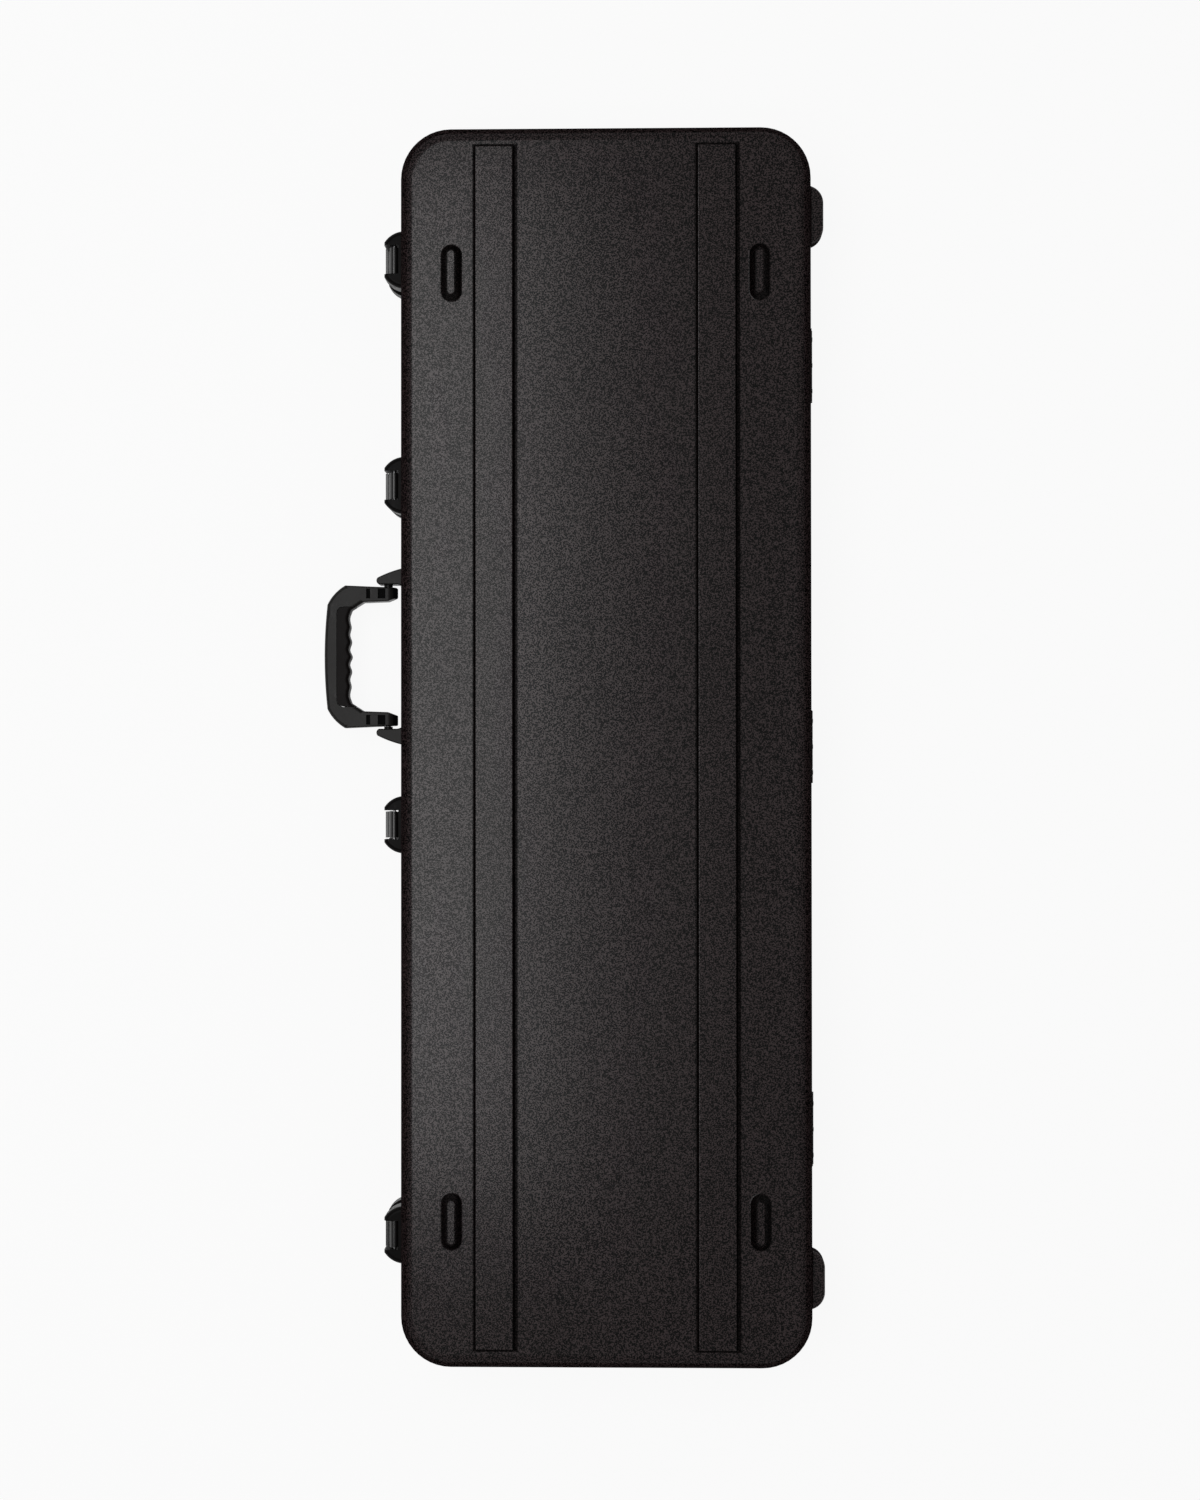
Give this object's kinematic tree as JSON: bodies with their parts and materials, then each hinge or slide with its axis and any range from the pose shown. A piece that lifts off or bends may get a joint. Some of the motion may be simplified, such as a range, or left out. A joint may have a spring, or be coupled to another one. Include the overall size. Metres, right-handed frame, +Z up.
{
  "type": "bass guitar case",
  "caption": "Long rectangular moulded hard case for a bass guitar, hinged lid with raised bands, latches with pull triggers, folding side handle and padded inside.",
  "frame": {"origin": "middle of the whole part's box, handle included, at the level of the feet it lies on", "axes": "+X towards the hinge side, -X towards the handle and latches, +Y towards the end for the instrument's body, +Z up out of the lid"},
  "size_m": [0.5272, 1.2848, 0.134],
  "materials": {
    "shell_plastic": "moulded leather grain, satin",
    "valance_metal": "black anodised extrusion",
    "latch_plastic": "fine spark-eroded texture",
    "hasp_plastic": "smooth satin",
    "pin_steel": "zinc plated",
    "rivet_steel": "black oxide",
    "hinge_steel": "black powder coat",
    "handle_plastic": "satin with soft wear",
    "grip_rubber": "soft touch",
    "lining_plush": "short pile plush over foam",
    "ribbon_cloth": "woven tape"
  },
  "bodies": {
    "base": {"base_shell": "shell_plastic", "base_valance": "valance_metal", "hinge_base_rivets": "rivet_steel", "hinge_pins": "pin_steel", "latch_base_rivets": "rivet_steel", "bracket_rivets": "rivet_steel", "handle_bracket_top": "handle_plastic", "handle_bracket_bottom": "handle_plastic", "handle_pins": "pin_steel", "floor_pad": "lining_plush", "body_surround_left": "lining_plush", "body_surround_right": "lining_plush", "neck_side_block": "lining_plush", "accessory_box": "lining_plush", "head_surround": "lining_plush", "neck_cradle": "lining_plush", "hinge_base_leaf_1": "hinge_steel", "hinge_base_leaf_2": "hinge_steel", "hinge_base_leaf_3": "hinge_steel", "catch_block_1": "latch_plastic", "catch_block_2": "latch_plastic", "catch_block_3": "latch_plastic", "catch_block_4": "latch_plastic"},
    "lid": {"lid_shell": "shell_plastic", "lid_valance": "valance_metal", "hinge_lid_rivets": "rivet_steel", "latch_lid_rivets": "rivet_steel", "lid_pad": "lining_plush", "hinge_lid_leaf_1": "hinge_steel", "hinge_lid_leaf_2": "hinge_steel", "hinge_lid_leaf_3": "hinge_steel", "latch_block_1": "latch_plastic", "latch_block_2": "latch_plastic", "latch_block_3": "latch_plastic", "latch_block_4": "latch_plastic", "hasp_pin_1": "pin_steel", "hasp_pin_2": "pin_steel", "hasp_pin_3": "pin_steel", "hasp_pin_4": "pin_steel"},
    "handle": {"handle_frame": "handle_plastic", "handle_grip": "grip_rubber"},
    "flap": {"accessory_flap": "lining_plush", "flap_tab": "ribbon_cloth"},
    "hasp_1": {"hasp_1": "hasp_plastic", "trigger_pin_1": "pin_steel"},
    "trigger_1": {"trigger_1": "hasp_plastic", "trigger_spring_1": "pin_steel"},
    "hasp_2": {"hasp_2": "hasp_plastic", "trigger_pin_2": "pin_steel"},
    "trigger_2": {"trigger_2": "hasp_plastic", "trigger_spring_2": "pin_steel"},
    "hasp_3": {"hasp_3": "hasp_plastic", "trigger_pin_3": "pin_steel"},
    "trigger_3": {"trigger_3": "hasp_plastic", "trigger_spring_3": "pin_steel"},
    "hasp_4": {"hasp_4": "hasp_plastic", "trigger_pin_4": "pin_steel"},
    "trigger_4": {"trigger_4": "hasp_plastic", "trigger_spring_4": "pin_steel"}
  },
  "joints": [
    {"name": "lid_hinge", "type": "hinge", "parent": "base", "child": "lid", "pos_m": [0.25205, 0, 0.067], "axis": [0, 1, 0], "range_deg": [0, 110]},
    {"name": "handle_pivot", "type": "hinge", "parent": "base", "child": "handle", "pos_m": [-0.19605, 0.0967, 0.037], "axis": [0, 1, 0], "range_deg": [-20, 85]},
    {"name": "flap_hinge", "type": "hinge", "parent": "base", "child": "flap", "pos_m": [-0.00585, -0.121, 0.0637], "axis": [0, 1, 0], "range_deg": [0, 77]},
    {"name": "hasp_swing_1", "type": "hinge", "parent": "lid", "child": "hasp_1", "pos_m": [-0.18325, 0.508, 0.096], "axis": [0, 1, 0], "range_deg": [0, 105]},
    {"name": "trigger_pull_1", "type": "hinge", "parent": "hasp_1", "child": "trigger_1", "pos_m": [-0.18725, 0.508, 0.072], "axis": [0, 1, 0], "range_deg": [0, 15], "stiffness_Nm_per_rad": 0.02},
    {"name": "hasp_swing_2", "type": "hinge", "parent": "lid", "child": "hasp_2", "pos_m": [-0.18325, 0.2725, 0.096], "axis": [0, 1, 0], "range_deg": [0, 105]},
    {"name": "trigger_pull_2", "type": "hinge", "parent": "hasp_2", "child": "trigger_2", "pos_m": [-0.18725, 0.2725, 0.072], "axis": [0, 1, 0], "range_deg": [0, 15], "stiffness_Nm_per_rad": 0.02},
    {"name": "hasp_swing_3", "type": "hinge", "parent": "lid", "child": "hasp_3", "pos_m": [-0.18325, -0.081, 0.096], "axis": [0, 1, 0], "range_deg": [0, 105]},
    {"name": "trigger_pull_3", "type": "hinge", "parent": "hasp_3", "child": "trigger_3", "pos_m": [-0.18725, -0.081, 0.072], "axis": [0, 1, 0], "range_deg": [0, 15], "stiffness_Nm_per_rad": 0.02},
    {"name": "hasp_swing_4", "type": "hinge", "parent": "lid", "child": "hasp_4", "pos_m": [-0.18325, -0.507, 0.096], "axis": [0, 1, 0], "range_deg": [0, 105]},
    {"name": "trigger_pull_4", "type": "hinge", "parent": "hasp_4", "child": "trigger_4", "pos_m": [-0.18725, -0.507, 0.072], "axis": [0, 1, 0], "range_deg": [0, 15], "stiffness_Nm_per_rad": 0.02}
  ],
  "couplings": [
    {"joint": "flap_hinge", "follows": "lid_hinge", "ratio": 0.7}
  ]
}
